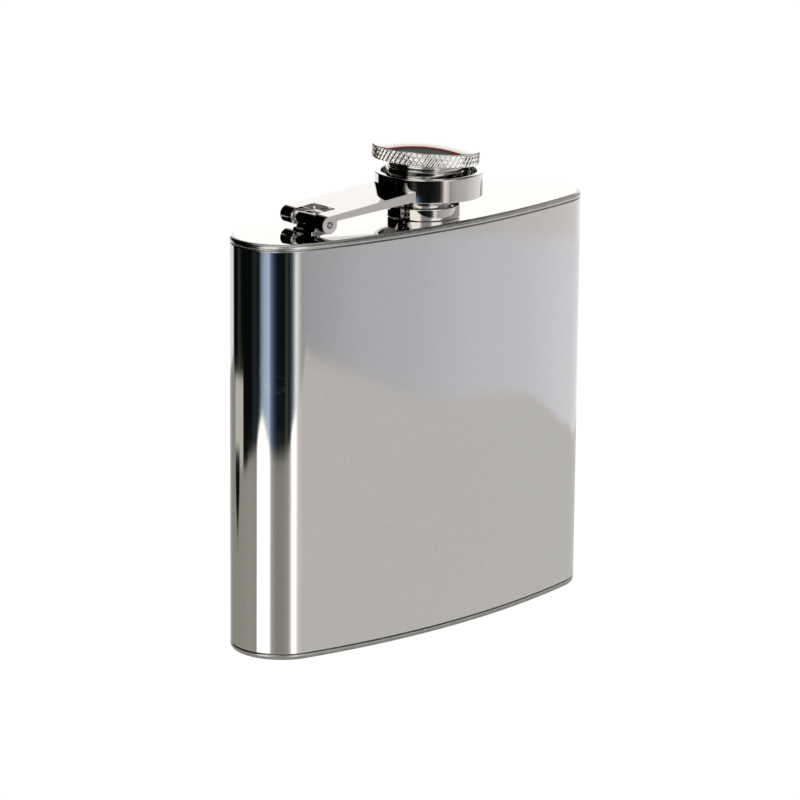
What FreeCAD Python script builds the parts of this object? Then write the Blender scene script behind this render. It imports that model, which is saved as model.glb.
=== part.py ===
import FreeCAD, Part
import math
import os

# Hip flask: a curved stainless body with a captive screw cap held in a ring
# at the end of a hinged arm. Millimetres, +Z up, X along the width,
# -Y is the convex front. The origin is at the middle of the base.
V = FreeCAD.Vector

# ---- driving dimensions ---------------------------------------------------
WIDTH = 94.0            # overall width of the body
HEIGHT = 88.7           # base to the flat of the top plate
DEPTH = 21.8            # thickness of the body, the same all along the curve
SAG = 4.1               # how far the middle bows forward of the two ends
WALL = 0.6              # sheet of the body shell
TOP_LIP = 1.15          # height of the rolled lip of the top plate
BOTTOM_LIP = 1.2        # height of the rolled lip of the bottom plate
LIP_RADIUS = 0.85       # rounding of the top lip
FOOT_RADIUS = 0.8       # rounding of the bottom lip
PLATE = 0.8             # sheet of the two end plates
SEAM = 0.2              # gap that shows as a dark line at each lip
SKIRT = 3.0             # how far each end plate reaches into the shell
SKIRT_T = 0.8

NECK_COLLAR_R = 7.73
NECK_COLLAR_H = 2.6
NECK_CORE_R = 5.95
NECK_BORE_R = 5.35
NECK_SPIGOT_R = 6.85
NECK_TOP = 8.6          # rim of the neck above the top plate
LEAD = 2.2              # thread lead: one turn seats the cap
THREAD_CREST_R = 6.5    # outside of the neck thread
CAP_CREST_R = 6.15      # inside of the cap thread

ARM_TURN = 6.2          # the arm points from the hinge to the neck, which the bow moves forward
PIN_X = -29.9           # hinge pin, along the arm, from the neck axis
PIN_Z = 2.5             # hinge pin above the top plate
PIN_R = 0.70
PIN_HOLE_R = 0.75
BARREL_LEN = 15.15
BARREL_MID = 7.3
KNUCKLE_R = 1.82
MID_R = 1.32
TAIL = 3.75             # free end of the rolled bracket strip, from the pin
TAIL_Z0 = 2.95
TAIL_Z1 = 3.40
NOTCH_W = 7.5
NOTCH_END = -25.7

RING_X = 1.25           # the ring hangs a little past the neck axis
RING_R = 11.54
RING_LIP_R = 10.15
RING_IN_R = 10.6
RING_Z0 = 4.35
RING_Z1 = 9.40
RING_LIP_Z = 8.25
ARM_END_TOP = 6.85
ARM_END_BOTTOM = 4.75
ARM_HALF_END = 7.27

HEAD_R = 11.4
HEAD_Z0 = 9.45          # underside of the head when the cap is screwed home
HEAD_Z1 = 12.12
DOME_R = 11.2
DOME_SAG = 1.69
SLEEVE_R = 8.2
SLEEVE_IN_R = 7.05
SLEEVE_Z0 = 4.0
SLEEVE_TOP = 11.0
SEAL_Z0 = 8.62
SEAL_Z1 = 9.82
SEAL_R = 7.0

LEAN = 5.0              # the unscrewed cap leans this far away from the hinge
DROP = LEAD             # and stands this much higher than when it is home
PIVOT_Z = 7.0

Y_END = SAG / 2.0       # the two ends sit this far back of the middle of the bounding box
NECK_Y = Y_END - SAG

os.makedirs("parts", exist_ok=True)


# ---- plan outline of the body --------------------------------------------
END_R = DEPTH / 2.0
END_X = WIDTH / 2.0 - END_R
MID_ARC = (END_X ** 2 + SAG ** 2) / (2.0 * SAG)
ARC_Y = Y_END + MID_ARC - SAG


def outline(inset, z):
    """Closed wire: two concentric arcs joined by two round ends."""
    rf = MID_ARC + END_R - inset
    rb = MID_ARC - END_R + inset
    re = END_R - inset
    ux = END_X / MID_ARC
    uy = (Y_END - ARC_Y) / MID_ARC
    edges = []

    def pt(x, y):
        return V(x, y, z)

    def end(sign):
        ex, ey = sign * END_X, Y_END
        u = (sign * ux, uy)
        out = (-uy * sign, ux)
        front = pt(ex + u[0] * re, ey + u[1] * re)
        tip = pt(ex + out[0] * re, ey + out[1] * re)
        back = pt(ex - u[0] * re, ey - u[1] * re)
        return front, tip, back

    lf, lt, lb = end(-1)
    rf_, rt, rb_ = end(1)
    edges.append(Part.Arc(lf, pt(0, ARC_Y - rf), rf_).toShape())
    edges.append(Part.Arc(rf_, rt, rb_).toShape())
    edges.append(Part.Arc(rb_, pt(0, ARC_Y - rb), lb).toShape())
    edges.append(Part.Arc(lb, lt, lf).toShape())
    return Part.Wire(edges)


def slab(inset, z0, z1):
    return Part.Face(outline(inset, z0)).extrude(V(0, 0, z1 - z0))


def flat_edges(shape, z, tol=1e-4):
    return [e for e in shape.Edges
            if all(abs(v.Point.z - z) < tol for v in e.Vertexes) and e.Vertexes]


def cyl(r, z0, z1, x=0.0, y=0.0):
    return Part.makeCylinder(r, z1 - z0, V(x, y, z0), V(0, 0, 1))


def turned(points):
    """Solid of revolution about Z from an (r, z) profile."""
    pts = [V(r, 0, z) for r, z in points]
    wire = Part.makePolygon(pts + [pts[0]])
    return Part.Face(wire).revolve(V(0, 0, 0), V(0, 0, 1), 360)


def ridge(r_root, r_crest, w_root, w_crest, z0, turns, start_deg, lead):
    """Helical ridge whose middle starts at height z0 and angle start_deg."""
    h = turns * lead
    helix = Part.makeHelix(lead, h, r_root)
    prof = Part.makePolygon([V(r_root, 0, -w_root / 2.0), V(r_crest, 0, -w_crest / 2.0),
                             V(r_crest, 0, w_crest / 2.0), V(r_root, 0, w_root / 2.0),
                             V(r_root, 0, -w_root / 2.0)])
    solid = Part.Wire(helix).makePipeShell([prof], True, True)
    solid.rotate(V(0, 0, 0), V(0, 0, 1), start_deg)
    solid.translate(V(0, 0, z0))
    return solid


def single(shape):
    shape = shape.removeSplitter()
    if len(shape.Solids) == 1:
        return shape.Solids[0]
    return shape


def place(shape):
    """From the arm's own frame (neck axis, top plate) to the body frame."""
    s = shape.copy()
    s.rotate(V(0, 0, 0), V(0, 0, 1), -ARM_TURN)
    s.translate(V(0, NECK_Y, HEIGHT))
    return s


def lean(shape):
    """From screwed home to standing unscrewed on the neck."""
    s = shape.copy()
    pivot_x = DROP / math.sin(math.radians(LEAN))
    s.rotate(V(pivot_x, 0, PIVOT_Z), V(0, 1, 0), LEAN)
    return s


def save(shape, name):
    shape = single(shape)
    if not shape.isValid():
        raise RuntimeError(name + " is not valid")
    if len(shape.Solids) != 1:
        raise RuntimeError(name + " has %d solids" % len(shape.Solids))
    shape.exportStep("parts/" + name + ".step")
    b = shape.BoundBox
    print("%-16s vol %9.2f  x %7.2f %7.2f  y %7.2f %7.2f  z %7.2f %7.2f" % (
        name, shape.Volume, b.XMin, b.XMax, b.YMin, b.YMax, b.ZMin, b.ZMax))
    return shape


# ---- body ------------------------------------------------------------------
z_lo = BOTTOM_LIP + SEAM
z_hi = HEIGHT - TOP_LIP - SEAM
shell = slab(0, z_lo, z_hi).cut(slab(WALL, z_lo - 1, z_hi + 1))
save(shell, "body_shell")

z_lip = HEIGHT - TOP_LIP
lip = slab(0, z_lip, HEIGHT)
lip = lip.makeFillet(LIP_RADIUS, flat_edges(lip, HEIGHT))
skirt = slab(WALL, z_lip - SKIRT, z_lip + 0.2)
top = lip.fuse(skirt)
top = top.cut(slab(WALL + SKIRT_T, z_lip - SKIRT - 1, HEIGHT - PLATE))
top = top.cut(cyl(NECK_SPIGOT_R, HEIGHT - 5, HEIGHT + 5, 0, NECK_Y))
save(top, "top_plate")

foot = slab(0, 0, BOTTOM_LIP)
foot = foot.makeFillet(FOOT_RADIUS, flat_edges(foot, 0.0))
skirt = slab(WALL, BOTTOM_LIP - 0.2, BOTTOM_LIP + SKIRT)
bottom = foot.fuse(skirt).cut(slab(WALL + SKIRT_T, PLATE, BOTTOM_LIP + SKIRT + 1))
save(bottom, "bottom_plate")

# ---- neck --------------------------------------------------------------------
C = 0.35
neck = turned([
    (NECK_BORE_R, -2.3), (NECK_SPIGOT_R, -2.3), (NECK_SPIGOT_R, 0),
    (NECK_COLLAR_R, 0), (NECK_COLLAR_R, NECK_COLLAR_H - C), (NECK_COLLAR_R - C, NECK_COLLAR_H),
    (NECK_CORE_R, NECK_COLLAR_H), (NECK_CORE_R, NECK_TOP - 0.2), (NECK_CORE_R - 0.2, NECK_TOP),
    (NECK_BORE_R + 0.1, NECK_TOP), (NECK_BORE_R, NECK_TOP - 0.1)])
cap_start_z = 6.24                       # lowest point of the cap's thread, cap home
neck_mid_z = cap_start_z + LEAD / 2.0    # neck thread on the hinge side
z_first = 3.5
turns = (8.05 - z_first) / LEAD
start = 180.0 + (z_first - neck_mid_z) / LEAD * 360.0
thread = ridge(NECK_CORE_R - 0.15, THREAD_CREST_R, 0.72, 0.30, z_first, turns, start, LEAD)
neck = neck.fuse(thread)
save(place(neck), "neck")

# ---- hinge -------------------------------------------------------------------
def along_y(r, y0, y1, x=PIN_X, z=PIN_Z):
    return Part.makeCylinder(r, y1 - y0, V(x, y0, z), V(0, 1, 0))


def box(x0, x1, y0, y1, z0, z1):
    return Part.makeBox(x1 - x0, y1 - y0, z1 - z0, V(x0, y0, z0))


hm = BARREL_MID / 2.0
hb = BARREL_LEN / 2.0
bracket = along_y(MID_R, -hm, hm)
bracket = bracket.fuse(box(PIN_X - 0.65, PIN_X + 0.65, -3.3, 3.3, 0.0, PIN_Z))
# the free end of the rolled strip, inside the arm's notch
bracket = bracket.fuse(box(PIN_X, PIN_X + TAIL, -3.3, 3.3, TAIL_Z0, TAIL_Z1))
foot = box(PIN_X - 1.6, PIN_X + 3.4, -3.3, 3.3, 0.0, 0.45)
foot = foot.makeChamfer(0.2, [e for e in flat_edges(foot, 0.45)])
bracket = bracket.fuse(foot)
bracket = bracket.cut(along_y(PIN_R, -20, 20))
save(place(bracket), "hinge_bracket")

pin = along_y(PIN_R, -hb + 0.35, hb - 0.35)
save(place(pin), "hinge_pin")

# ---- arm ---------------------------------------------------------------------
x_end = RING_X - 2.0
side = Part.makePolygon([
    V(PIN_X, 0, PIN_Z + KNUCKLE_R), V(x_end, 0, ARM_END_TOP + (ARM_END_TOP - PIN_Z - KNUCKLE_R) / 22.2 * (x_end + 7.7)),
    V(x_end, 0, ARM_END_BOTTOM + (ARM_END_BOTTOM - 3.07) / 22.2 * (x_end + 7.7)), V(PIN_X, 0, 3.07),
    V(PIN_X, 0, PIN_Z + KNUCKLE_R)])
plate = Part.Face(side).extrude(V(0, 2 * hb, 0))
plate.translate(V(0, -hb, 0))
plan = Part.Face(Part.makePolygon([
    V(PIN_X - 3, -hb, 0), V(PIN_X + 2, -hb, 0), V(x_end, -ARM_HALF_END + 0.0, 0),
    V(x_end, ARM_HALF_END, 0), V(PIN_X + 2, hb, 0), V(PIN_X - 3, hb, 0), V(PIN_X - 3, -hb, 0)])).extrude(V(0, 0, 12))
plate = plate.common(plan)
knuckles = along_y(KNUCKLE_R, -hb, -NOTCH_W / 2.0).fuse(along_y(KNUCKLE_R, NOTCH_W / 2.0, hb))
arm = plate.fuse(knuckles)
arm = arm.cut(box(PIN_X - 3, NOTCH_END, -NOTCH_W / 2.0, NOTCH_W / 2.0, -1, 12))
arm = arm.cut(along_y(PIN_HOLE_R, -20, 20))
arm = arm.cut(cyl(RING_R, 0, 15, RING_X))
save(place(arm), "lever_arm")

# ---- ring --------------------------------------------------------------------
f = 0.22
ring = turned([
    (RING_IN_R, RING_Z0), (RING_R - f, RING_Z0), (RING_R, RING_Z0 + f),
    (RING_R, RING_Z1 - f), (RING_R - f, RING_Z1), (RING_LIP_R + f, RING_Z1), (RING_LIP_R, RING_Z1 - f),
    (RING_LIP_R, RING_LIP_Z), (RING_IN_R, RING_LIP_Z)])
ring.translate(V(RING_X, 0, 0))
save(place(ring), "collar_ring")

# ---- retaining ring: off-centre hole, split on the far side ------------------
clip = cyl(10.35, 4.45, 5.05, RING_X + 0.09).cut(cyl(7.72, 4, 6))
clip = clip.cut(box(5, 15, -0.6, 0.6, 4, 6))
save(place(lean(clip)), "retaining_ring")

# ---- cap ---------------------------------------------------------------------
sleeve = turned([
    (0, SEAL_Z1), (SLEEVE_IN_R, SEAL_Z1), (SLEEVE_IN_R, SLEEVE_Z0 + 0.15), (SLEEVE_IN_R + 0.15, SLEEVE_Z0),
    (SLEEVE_R - 0.15, SLEEVE_Z0), (SLEEVE_R, SLEEVE_Z0 + 0.15), (SLEEVE_R, 4.40), (7.67, 4.40), (7.67, 5.10),
    (SLEEVE_R, 5.10), (SLEEVE_R, SLEEVE_TOP), (0, SLEEVE_TOP)])
cap_turns = (8.25 - cap_start_z) / LEAD
inner = ridge(SLEEVE_IN_R + 0.15, CAP_CREST_R, 0.72, 0.30, cap_start_z, cap_turns, 180.0, LEAD)
sleeve = sleeve.fuse(inner)
save(place(lean(sleeve)), "cap_sleeve")

g = 0.18
head = turned([
    (SLEEVE_R, HEAD_Z0), (HEAD_R - g, HEAD_Z0), (HEAD_R, HEAD_Z0 + g), (HEAD_R, HEAD_Z1 - g),
    (HEAD_R - g, HEAD_Z1), (10.6, HEAD_Z1), (10.6, SLEEVE_TOP), (SLEEVE_R, SLEEVE_TOP)])
save(place(lean(head)), "cap_head")

ball_r = (DOME_R ** 2 + DOME_SAG ** 2) / (2 * DOME_SAG)
ball = Part.makeSphere(ball_r, V(0, 0, HEAD_Z1 + DOME_SAG - ball_r))
dome = ball.common(cyl(DOME_R + 1, HEAD_Z1, HEAD_Z1 + 5))
dome = dome.fuse(cyl(10.6, SLEEVE_TOP, HEAD_Z1))
save(place(lean(dome)), "cap_dome")

seal = cyl(SEAL_R, SEAL_Z0, SEAL_Z1)
save(place(lean(seal)), "cap_seal")

# ---- joint geometry, printed for the record ----------------------------------
def where(x, y, z):
    a = math.radians(-ARM_TURN)
    return (x * math.cos(a) - y * math.sin(a), x * math.sin(a) + y * math.cos(a) + NECK_Y, z + HEIGHT)


pivot_x = DROP / math.sin(math.radians(LEAN))
t = math.radians(LEAN)
ax0 = (pivot_x - pivot_x * math.cos(t) + (9.0 - PIVOT_Z) * math.sin(t), 0, PIVOT_Z + pivot_x * math.sin(t) + (9.0 - PIVOT_Z) * math.cos(t))
print("pin", [round(v, 5) for v in where(PIN_X, 0, PIN_Z)])
print("arm_axis_y", [round(math.sin(math.radians(ARM_TURN)), 7), round(math.cos(math.radians(ARM_TURN)), 7), 0])
print("settle pivot", [round(v, 5) for v in where(pivot_x, 0, PIVOT_Z)])
print("cap axis point", [round(v, 5) for v in where(*ax0)])
d = where(math.sin(t), 0, math.cos(t))
print("cap axis dir", [round(d[0], 7), round(d[1] - NECK_Y, 7), round(d[2] - HEIGHT, 7)])
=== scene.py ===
import math
import bpy
import bmesh
from mathutils import Matrix, Vector


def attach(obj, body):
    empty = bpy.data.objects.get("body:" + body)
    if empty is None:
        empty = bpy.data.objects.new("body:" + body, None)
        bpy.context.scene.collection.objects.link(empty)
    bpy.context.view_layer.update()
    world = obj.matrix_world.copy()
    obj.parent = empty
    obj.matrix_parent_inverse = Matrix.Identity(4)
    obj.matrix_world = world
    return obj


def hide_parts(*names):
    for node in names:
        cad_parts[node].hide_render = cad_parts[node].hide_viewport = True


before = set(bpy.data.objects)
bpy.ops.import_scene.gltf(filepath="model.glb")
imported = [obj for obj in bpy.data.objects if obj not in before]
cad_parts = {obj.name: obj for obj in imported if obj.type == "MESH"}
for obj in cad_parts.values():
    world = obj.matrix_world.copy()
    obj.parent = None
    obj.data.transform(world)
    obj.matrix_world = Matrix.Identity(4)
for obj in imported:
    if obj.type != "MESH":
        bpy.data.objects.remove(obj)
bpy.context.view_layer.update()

MM = 0.001
scene = bpy.context.scene
COLL = scene.collection

# ---------------------------------------------------------------- dimensions
# The same driving dimensions as the CAD, in millimetres.
WIDTH, HEIGHT, DEPTH, SAG = 94.0, 88.7, 21.8, 4.1
WALL, TOP_LIP, BOTTOM_LIP = 0.6, 1.15, 1.2
PLATE, SEAM, SKIRT, SKIRT_T = 0.8, 0.2, 3.0, 0.8
END_R = DEPTH / 2
END_X = WIDTH / 2 - END_R
MID = (END_X ** 2 + SAG ** 2) / (2 * SAG)
Y_END = SAG / 2
NECK_Y = Y_END - SAG
ARC_Y = Y_END + MID - SAG
PHI = math.asin(END_X / MID)
PIN_X, PIN_Z, HB = -29.9, 2.5, 7.575
RING_X, RING_R, RING_IN = 1.25, 11.54, 10.6

ARM = Matrix.Translation((0, NECK_Y, HEIGHT)) @ Matrix.Rotation(math.radians(-6.2), 4, "Z")
PIV = Vector((2.2 / math.sin(math.radians(5.0)), 0, 7.0))
LEAN = ARM @ Matrix.Translation(PIV) @ Matrix.Rotation(math.radians(5.0), 4, "Y") @ Matrix.Translation(-PIV)
TO_M = Matrix.Scale(MM, 4)


# ---------------------------------------------------------------- mesh tools
def new_object(name, verts, faces, matrix=None, smooth=True, sharp=32.0, weighted=True):
    me = bpy.data.meshes.new(name)
    me.from_pydata([tuple(v) for v in verts], [], faces)
    me.update()
    bm = bmesh.new()
    bm.from_mesh(me)
    bmesh.ops.remove_doubles(bm, verts=bm.verts, dist=1e-5)
    bmesh.ops.recalc_face_normals(bm, faces=bm.faces)
    bm.to_mesh(me)
    bm.free()
    me.transform(TO_M @ (matrix or Matrix.Identity(4)))
    ob = bpy.data.objects.new(name, me)
    COLL.objects.link(ob)
    if smooth:
        me.shade_smooth()
        me.set_sharp_from_angle(angle=math.radians(sharp))
        if weighted:
            m = ob.modifiers.new("flat_faces", "WEIGHTED_NORMAL")
            m.mode = "FACE_AREA"
            m.keep_sharp = True
            m.weight = 60
    return ob


def rounded(points, radii, segs=4):
    """A closed polygon with its corners rounded. radii is one number or one per corner."""
    n = len(points)
    if not isinstance(radii, (list, tuple)):
        radii = [radii] * n
    out = []
    for i in range(n):
        p, r = Vector(points[i]), radii[i]
        if r <= 0:
            out.append(tuple(p))
            continue
        a, b = Vector(points[i - 1]), Vector(points[(i + 1) % n])
        u, v = (a - p).normalized(), (b - p).normalized()
        half = math.acos(max(-1.0, min(1.0, u.dot(v)))) / 2
        if half > math.radians(86) or half < 0.02:
            out.append(tuple(p))
            continue
        d = r / math.tan(half)
        c = p + (u + v).normalized() * (r / math.sin(half))
        s, e = p + u * d - c, p + v * d - c
        a0, a1 = math.atan2(s.y, s.x), math.atan2(e.y, e.x)
        da = (a1 - a0 + math.pi) % (2 * math.pi) - math.pi
        for k in range(segs + 1):
            t = a0 + da * k / segs
            out.append((c.x + r * math.cos(t), c.y + r * math.sin(t)))
    return out


def rings_to_faces(count, n, closed_profile):
    faces = []
    for i in range(count if closed_profile else count - 1):
        j = (i + 1) % count
        for k in range(n):
            k2 = (k + 1) % n
            faces.append((i * n + k, i * n + k2, j * n + k2, j * n + k))
    return faces


def lathe(name, profile, matrix, n=192, closed=True, cx=0.0, caps=(False, False), **kw):
    """Revolve (r, z) points about Z. closed: the profile is a loop. caps fill the first and last ring."""
    verts = []
    for r, z in profile:
        for k in range(n):
            a = 2 * math.pi * k / n
            verts.append((cx + r * math.cos(a), r * math.sin(a), z))
    faces = rings_to_faces(len(profile), n, closed)
    if caps[0]:
        faces.append(tuple(range(n)))
    if caps[1]:
        faces.append(tuple(range((len(profile) - 1) * n, len(profile) * n)))
    return new_object(name, verts, faces, matrix, **kw)


def outline(inset):
    """Plan outline of the body: two concentric arcs joined by two round ends."""
    nf, ne, nb = 168, 84, 140
    rf, rb, re = MID + END_R - inset, MID - END_R + inset, END_R - inset
    pts = []
    for i in range(nf):
        t = -PHI + 2 * PHI * i / nf
        pts.append((rf * math.sin(t), ARC_Y - rf * math.cos(t)))
    for i in range(ne):
        t = -math.pi / 2 + PHI + math.pi * i / ne
        pts.append((END_X + re * math.cos(t), Y_END + re * math.sin(t)))
    for i in range(nb):
        t = PHI - 2 * PHI * i / nb
        pts.append((rb * math.sin(t), ARC_Y - rb * math.cos(t)))
    for i in range(ne):
        t = math.pi / 2 - PHI + math.pi * i / ne
        pts.append((-END_X + re * math.cos(t), Y_END + re * math.sin(t)))
    return pts


def loft(name, profile, matrix=None, caps=(False, False), closed=True, **kw):
    """profile: ('o', inset, z) follows the body outline, ('c', radius, z) a circle about the neck axis."""
    base = outline(0.0)
    ang = [math.atan2(y - NECK_Y, x) for x, y in base]
    n = len(base)
    verts = []
    for kind, a, z in profile:
        if kind == "o":
            verts += [(x, y, z) for x, y in outline(a)]
        else:
            verts += [(a * math.cos(t), NECK_Y + a * math.sin(t), z) for t in ang]
    faces = rings_to_faces(len(profile), n, closed)
    if caps[0]:
        faces.append(tuple(range(n)))
    if caps[1]:
        faces.append(tuple(range((len(profile) - 1) * n, len(profile) * n)))
    return new_object(name, verts, faces, matrix, **kw)


def arc_pts(cx, cz, r, a0, a1, n):
    return [(cx + r * math.cos(math.radians(a0 + (a1 - a0) * i / n)),
             cz + r * math.sin(math.radians(a0 + (a1 - a0) * i / n))) for i in range(n + 1)]


def extrude_y(name, profile, y0, y1, edge=0.1, segs=3, matrix=None, **kw):
    """Extrude a closed (x, z) outline along Y, with softly rounded rims."""
    n = len(profile)
    area = sum(profile[i][0] * profile[(i + 1) % n][1] - profile[(i + 1) % n][0] * profile[i][1] for i in range(n))
    s = 1.0 if area > 0 else -1.0
    inner = []
    for i in range(n):
        p = Vector(profile[i])
        a, b = Vector(profile[i - 1]), Vector(profile[(i + 1) % n])
        t = (b - p).normalized() + (p - a).normalized()
        t = t.normalized() if t.length > 1e-9 else (b - p).normalized()
        nrm = Vector((-t.y, t.x)) * s
        inner.append((p, nrm))
    rows = []
    for k in range(segs + 1):
        a = math.pi / 2 * k / segs
        rows.append((edge * (1 - math.sin(a)), y0 + edge * (1 - math.cos(a))))
    rows += [(d, y0 + y1 - y) for d, y in reversed(rows)]
    verts = []
    for d, y in rows:
        verts += [(p.x + q.x * d, y, p.y + q.y * d) for p, q in inner]
    faces = rings_to_faces(len(rows), n, False)
    faces.append(tuple(range(n)))
    faces.append(tuple(range((len(rows) - 1) * n, len(rows) * n)))
    return new_object(name, verts, faces, matrix, **kw)


def boolean(ob, other, op):
    m = ob.modifiers.new("b", "BOOLEAN")
    m.operation, m.object, m.solver = op, other, "EXACT"
    deps = bpy.context.evaluated_depsgraph_get()
    me = bpy.data.meshes.new_from_object(ob.evaluated_get(deps))
    ob.modifiers.clear()
    old = ob.data
    ob.data = me
    bpy.data.meshes.remove(old)
    me2 = other.data
    bpy.data.objects.remove(other)
    bpy.data.meshes.remove(me2)
    return ob


def finish_piece(ob, body, slot, material, *nodes):
    ob.data.materials.clear()
    ob.data.materials.append(material)
    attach(ob, body)
    if nodes:
        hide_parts(*nodes)
    return ob


# ---------------------------------------------------------------- materials
class Nodes:
    """A small helper that writes a node tree from Python expressions."""

    def __init__(self, name):
        self.mat = bpy.data.materials.new(name)
        self.mat.use_nodes = True
        self.nt = self.mat.node_tree
        self.nt.nodes.clear()
        self.out = self.nt.nodes.new("ShaderNodeOutputMaterial")
        self.bsdf = self.nt.nodes.new("ShaderNodeBsdfPrincipled")
        self.nt.links.new(self.bsdf.outputs[0], self.out.inputs[0])
        self.coord = self.nt.nodes.new("ShaderNodeTexCoord")

    def link(self, a, b):
        self.nt.links.new(a, b)

    def obj(self, scale=(1, 1, 1), rot=(0, 0, 0), loc=(0, 0, 0)):
        m = self.nt.nodes.new("ShaderNodeMapping")
        m.inputs["Scale"].default_value = scale
        m.inputs["Rotation"].default_value = rot
        m.inputs["Location"].default_value = loc
        self.link(self.coord.outputs["Object"], m.inputs[0])
        return m.outputs[0]

    def noise(self, vec, scale, detail=3.0, rough=0.5, distortion=0.0):
        n = self.nt.nodes.new("ShaderNodeTexNoise")
        n.inputs["Scale"].default_value = scale
        n.inputs["Detail"].default_value = detail
        n.inputs["Roughness"].default_value = rough
        n.inputs["Distortion"].default_value = distortion
        self.link(vec, n.inputs["Vector"])
        return n.outputs["Fac"]

    def voronoi(self, vec, scale, feature="F1", rand=1.0):
        n = self.nt.nodes.new("ShaderNodeTexVoronoi")
        n.feature = feature
        n.inputs["Scale"].default_value = scale
        n.inputs["Randomness"].default_value = rand
        self.link(vec, n.inputs["Vector"])
        return n.outputs["Distance"]

    def math(self, op, a, b=None, clamp=False):
        n = self.nt.nodes.new("ShaderNodeMath")
        n.operation = op
        n.use_clamp = clamp
        for i, v in enumerate((a, b)):
            if v is None:
                continue
            if isinstance(v, (int, float)):
                n.inputs[i].default_value = v
            else:
                self.link(v, n.inputs[i])
        return n.outputs[0]

    def span(self, v, a, b, c, d, smooth=True):
        n = self.nt.nodes.new("ShaderNodeMapRange")
        n.interpolation_type = "SMOOTHSTEP" if smooth else "LINEAR"
        for i, x in zip((1, 2, 3, 4), (a, b, c, d)):
            n.inputs[i].default_value = x
        self.link(v, n.inputs[0])
        return n.outputs[0]

    def mix(self, fac, a, b):
        n = self.nt.nodes.new("ShaderNodeMix")
        n.data_type = "RGBA"
        self.link(fac, n.inputs[0])
        for i, v in ((6, a), (7, b)):
            if isinstance(v, tuple):
                n.inputs[i].default_value = (*v, 1)
            else:
                self.link(v, n.inputs[i])
        return n.outputs[2]

    def bump(self, height, strength, distance, normal=None):
        n = self.nt.nodes.new("ShaderNodeBump")
        n.inputs["Strength"].default_value = strength
        n.inputs["Distance"].default_value = distance
        self.link(height, n.inputs["Height"])
        if normal is not None:
            self.link(normal, n.inputs["Normal"])
        return n.outputs[0]


def steel(name, base=(0.62, 0.61, 0.595), dark=0.9, rough=(0.045, 0.09), brush=None, brush_bump=0.02,
          aniso=0.0, grain=900.0, specks=True, wave=0.0, haze_scale=60.0, grime=0.0,
          mottle=0.0):
    """Polished stainless: smudges, fine polishing lines, pits and a few hairline scratches.
    brush: per-axis scale of the polishing lines, in object space."""
    n = Nodes(name)
    b = n.bsdf
    b.inputs["Metallic"].default_value = 1.0
    b.inputs["IOR"].default_value = 2.5
    if aniso > 0:
        b.inputs["Anisotropic"].default_value = aniso
        b.inputs["Anisotropic Rotation"].default_value = 0.25
        t = n.nt.nodes.new("ShaderNodeTangent")
        t.direction_type = "RADIAL"
        t.axis = "Z"
        n.link(t.outputs[0], b.inputs["Tangent"])
    smudge = n.noise(n.obj(), haze_scale, 4.0, 0.6)
    fine = n.noise(n.obj(), haze_scale * 14, 2.0, 0.5)
    lines = n.noise(n.obj(scale=brush or (1, 1, 1)), grain if not brush else 1.0, 3.0, 0.65)
    tone = n.math("ADD", n.math("MULTIPLY", smudge, 0.55), n.math("MULTIPLY", lines, 0.45))
    fac = n.span(tone, 0.34, 0.66, 0.0, 1.0)
    low = tuple(c * dark for c in base)
    col = n.mix(fac, low, base)
    if grime > 0:
        spots = n.noise(n.obj(), haze_scale * 5, 3.0, 0.6)
        g = n.span(spots, 0.56, 0.74, 0.0, grime)
        col = n.mix(g, col, tuple(c * 0.55 for c in base))
    if mottle > 0:
        g = n.span(n.noise(n.obj(loc=(4, 4, 4)), 2400.0, 2.0, 0.6), 0.40, 0.60, 0.0, mottle)
        col = n.mix(g, col, tuple(c * 0.72 for c in base))
        dots = n.math("MULTIPLY", n.span(n.voronoi(n.obj(loc=(1, 7, 3)), 620.0), 0.03, 0.11, 1.0, 0.0),
                      n.span(n.noise(n.obj(loc=(2, 8, 5)), 260.0, 1.0, 0.5), 0.56, 0.64, 0.0, 0.55))
        col = n.mix(dots, col, tuple(c * 0.35 for c in base))
    n.link(col, b.inputs["Base Color"])
    r = n.span(n.math("ADD", n.math("MULTIPLY", smudge, 0.7), n.math("MULTIPLY", fine, 0.3)), 0.35, 0.68, rough[0], rough[1])
    # hairline scratches: thin bands of two stretched noises
    s1 = n.noise(n.obj(scale=(220, 220, 2600), rot=(0.30, 0.15, 0.6)), 1.0, 2.0, 0.4)
    hair = n.math("ABSOLUTE", n.math("SUBTRACT", s1, 0.5))
    hair = n.span(hair, 0.0, 0.006, 1.0, 0.0)
    gate = n.span(n.noise(n.obj(loc=(3, 1, 2)), 95.0, 2.0, 0.5), 0.60, 0.68, 0.0, 1.0)
    hair = n.math("MULTIPLY", hair, gate)
    r = n.math("ADD", r, n.math("MULTIPLY", hair, 0.10))
    n.link(r, b.inputs["Roughness"])
    h = n.math("MULTIPLY", lines, 1.0)
    nrm = n.bump(h, 1.0, brush_bump * MM * 0.1)
    if specks:
        pit = n.voronoi(n.obj(), 1400.0)
        pit = n.span(pit, 0.0, 0.16, -1.0, 0.0)
        pg = n.span(n.noise(n.obj(loc=(9, 2, 5)), 420.0, 1.0, 0.5), 0.55, 0.66, 0.0, 1.0)
        nrm = n.bump(n.math("ADD", n.math("MULTIPLY", pit, pg), n.math("MULTIPLY", hair, -0.6)), 0.35, 0.004 * MM, nrm)
    if wave > 0:
        nrm = n.bump(n.noise(n.obj(), 22.0, 2.0, 0.45), 1.0, wave * MM, nrm)
    n.link(nrm, b.inputs["Normal"])
    return n.mat


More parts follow.
